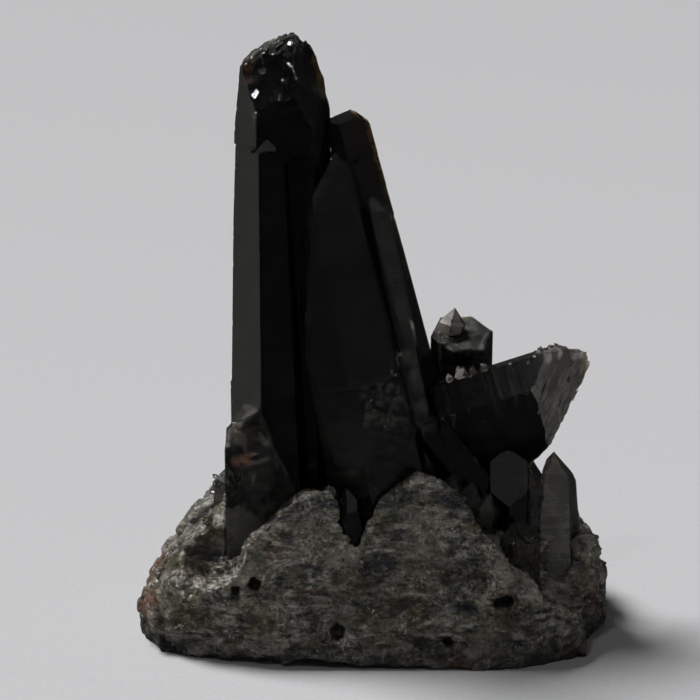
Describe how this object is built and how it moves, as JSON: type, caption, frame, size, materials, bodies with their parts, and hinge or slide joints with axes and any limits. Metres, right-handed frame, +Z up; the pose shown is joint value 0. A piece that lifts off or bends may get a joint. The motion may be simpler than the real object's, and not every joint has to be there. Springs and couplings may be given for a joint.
{
  "type": "morion quartz crystal cluster",
  "caption": "Display specimen of near-black morion quartz: tall six-sided crystals and broken stubs standing on a loose block of speckled grey rock.",
  "frame": {"origin": "middle of the specimen's box, on the flat underside of the rock that it rests on", "axes": "+Z up along the tall crystals, -Y toward the viewer and the flat cut front of the rock, +X toward the crystal that reaches out sideways"},
  "size_m": [0.134, 0.086, 0.169],
  "materials": {
    "morion_quartz": "near-black smoky quartz, glassy, see-through brown only at thin edges and broken rims",
    "matrix_rock": "speckled grey, olive and brown rock with fine sparkling quartz grains and pale veins"
  },
  "bodies": {
    "root": {"rock": "matrix_rock", "tall_crystals": "morion_quartz", "side_crystals": "morion_quartz", "stub_crystals": "morion_quartz", "left_broken_crystal": "morion_quartz", "front_point_crystal": "morion_quartz", "right_foot_crystals": "morion_quartz", "shelf_crystals": "morion_quartz", "rounded_crystal": "morion_quartz", "left_rear_crystal": "morion_quartz", "left_low_crystal": "morion_quartz", "rear_crystals": "morion_quartz", "rear_right_crystal": "morion_quartz"}
  },
  "joints": []
}
